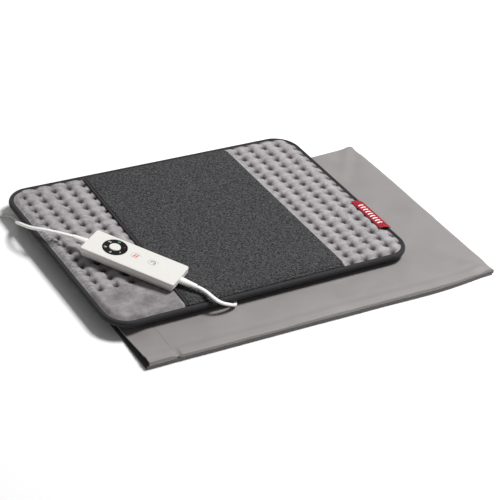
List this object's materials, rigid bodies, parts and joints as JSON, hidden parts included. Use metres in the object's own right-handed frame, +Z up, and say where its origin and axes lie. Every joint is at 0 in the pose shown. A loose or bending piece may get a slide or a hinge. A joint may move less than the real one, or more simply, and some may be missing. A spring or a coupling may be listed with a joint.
{
  "type": "electric heating pad",
  "caption": "Flat tufted electric heating pad with a felt band, bound edge and in-line handset, lying on its open-ended fabric slip cover.",
  "frame": {"origin": "on the resting surface, under the middle of the pad and the slip cover together", "axes": "+X along the pad's long side to the tab's edge, +Y to the pad's back edge, +Z up"},
  "size_m": [0.6022, 0.4663, 0.0445],
  "materials": {
    "plush": "short pile",
    "charcoal_felt": "heathered",
    "binding_tape": "woven tape",
    "cover_satin": "satin weave",
    "backing_cloth": "woven",
    "wadding": "needled",
    "wire_sheath": "smooth",
    "red_weave": "woven",
    "white_plastic": "satin moulded",
    "black_plastic": "moulded",
    "board_laminate": "solder mask",
    "clear_acrylic": "clear",
    "ceramic": "glazed",
    "steel": "zinc plated",
    "white_vinyl": "extruded",
    "hook_tape": "brushed loops",
    "nickel_brass": "nickel plated"
  },
  "bodies": {
    "slip_cover": {"cover_back_seam": "cover_satin", "cover_end_seam": "cover_satin", "cover_front_seam": "cover_satin", "cover_lower_hem": "cover_satin", "cover_lower_panel": "cover_satin", "cover_upper_hem": "cover_satin", "cover_upper_panel": "cover_satin"},
    "pad": {"band_left_binding": "binding_tape", "board_fuse": "ceramic", "boost_switch": "black_plastic", "bottom_cover": "backing_cloth", "circuit_board": "board_laminate", "coil_tie": "hook_tape", "comfort_band": "charcoal_felt", "edge_binding": "binding_tape", "feed_cord": "white_vinyl", "feed_gland": "black_plastic", "handset_bottom_shell": "white_plastic", "handset_top_shell": "white_plastic", "heater_carrier": "wadding", "heating_wire": "wire_sheath", "housing_screw_1": "steel", "housing_screw_2": "steel", "housing_screw_3": "steel", "housing_screw_4": "steel", "indicator_led": "ceramic", "junction_housing": "black_plastic", "label_tab": "red_weave", "level_dial_ring": "black_plastic", "level_switch": "black_plastic", "light_guide": "clear_acrylic", "lower_wadding": "wadding", "mains_coil": "white_vinyl", "mains_cord": "white_vinyl", "mains_tail": "white_vinyl", "plug_body": "white_vinyl", "plug_pin_left": "nickel_brass", "plug_pin_right": "nickel_brass", "plush_panel": "plush", "power_triac": "black_plastic", "relief_feed": "white_vinyl", "relief_mains": "white_vinyl", "temperature_sensor": "ceramic", "thermal_cutout": "steel", "timer_switch": "black_plastic", "upper_wadding": "wadding"},
    "level_button": {"level_button": "white_plastic"},
    "boost_key": {"boost_key": "white_plastic"},
    "timer_key": {"timer_key": "white_plastic"}
  },
  "joints": [
    {"name": "lift_off", "type": "slide", "parent": "slip_cover", "child": "pad", "axis": [0, 0, 1], "range_m": [0, 0.15]},
    {"name": "level_press", "type": "slide", "parent": "pad", "child": "level_button", "axis": [0.0042, 0.0557, -0.9984], "range_m": [0, 0.0008], "stiffness_N_per_m": 2500},
    {"name": "boost_press", "type": "slide", "parent": "pad", "child": "boost_key", "axis": [0.0042, 0.0557, -0.9984], "range_m": [0, 0.0004], "stiffness_N_per_m": 4000},
    {"name": "timer_press", "type": "slide", "parent": "pad", "child": "timer_key", "axis": [0.0042, 0.0557, -0.9984], "range_m": [0, 0.0004], "stiffness_N_per_m": 4000}
  ]
}
